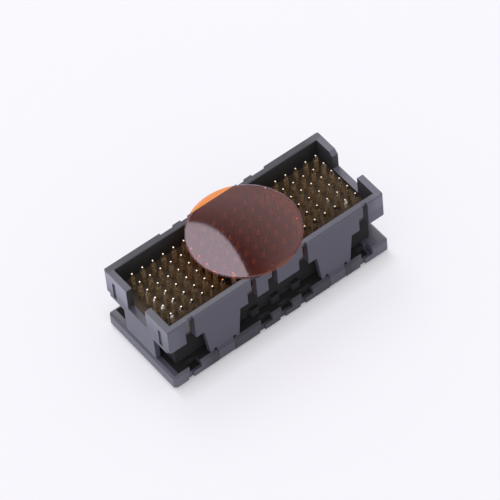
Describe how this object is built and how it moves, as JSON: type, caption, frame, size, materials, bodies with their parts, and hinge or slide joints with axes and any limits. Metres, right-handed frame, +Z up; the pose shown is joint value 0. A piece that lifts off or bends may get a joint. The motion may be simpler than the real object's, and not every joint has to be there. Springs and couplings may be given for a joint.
{
  "type": "array connector",
  "caption": "Board-to-board array connector, the shrouded pin half: six rows of gold-plated contacts in a black moulded shroud on a base plate, with a round pick-up film on top.",
  "frame": {"origin": "middle of the footprint, level with the lowest point of the solder balls", "axes": "+X along the connector towards the end wall with the wider keying notch, +Y across it, +Z up out of the shroud, away from the board"},
  "size_m": [0.027, 0.0118, 0.009],
  "materials": {
    "housing_plastic": "black glass-filled moulded plastic, satin",
    "plate_plastic": "black glass-filled moulded plastic, satin",
    "contact_gold": "gold plating on stamped copper alloy strip",
    "solder": "tin alloy solder, satin",
    "polyimide_film": "clear amber film, glossy"
  },
  "bodies": {
    "root": {"shroud_housing": "housing_plastic", "base_plate": "plate_plastic", "pickup_film": "polyimide_film", "contacts_column_01": "contact_gold", "contacts_column_02": "contact_gold", "contacts_column_03": "contact_gold", "contacts_column_04": "contact_gold", "contacts_column_05": "contact_gold", "contacts_column_06": "contact_gold", "contacts_column_07": "contact_gold", "contacts_column_08": "contact_gold", "contacts_column_09": "contact_gold", "contacts_column_10": "contact_gold", "contacts_column_11": "contact_gold", "contacts_column_12": "contact_gold", "contacts_column_13": "contact_gold", "contacts_column_14": "contact_gold", "contacts_column_15": "contact_gold", "contacts_column_16": "contact_gold", "contacts_column_17": "contact_gold", "contacts_column_18": "contact_gold", "contacts_column_19": "contact_gold", "solder_balls_column_01": "solder", "solder_balls_column_02": "solder", "solder_balls_column_03": "solder", "solder_balls_column_04": "solder", "solder_balls_column_05": "solder", "solder_balls_column_06": "solder", "solder_balls_column_07": "solder", "solder_balls_column_08": "solder", "solder_balls_column_09": "solder", "solder_balls_column_10": "solder", "solder_balls_column_11": "solder", "solder_balls_column_12": "solder", "solder_balls_column_13": "solder", "solder_balls_column_14": "solder", "solder_balls_column_15": "solder", "solder_balls_column_16": "solder", "solder_balls_column_17": "solder", "solder_balls_column_18": "solder", "solder_balls_column_19": "solder"}
  },
  "joints": []
}
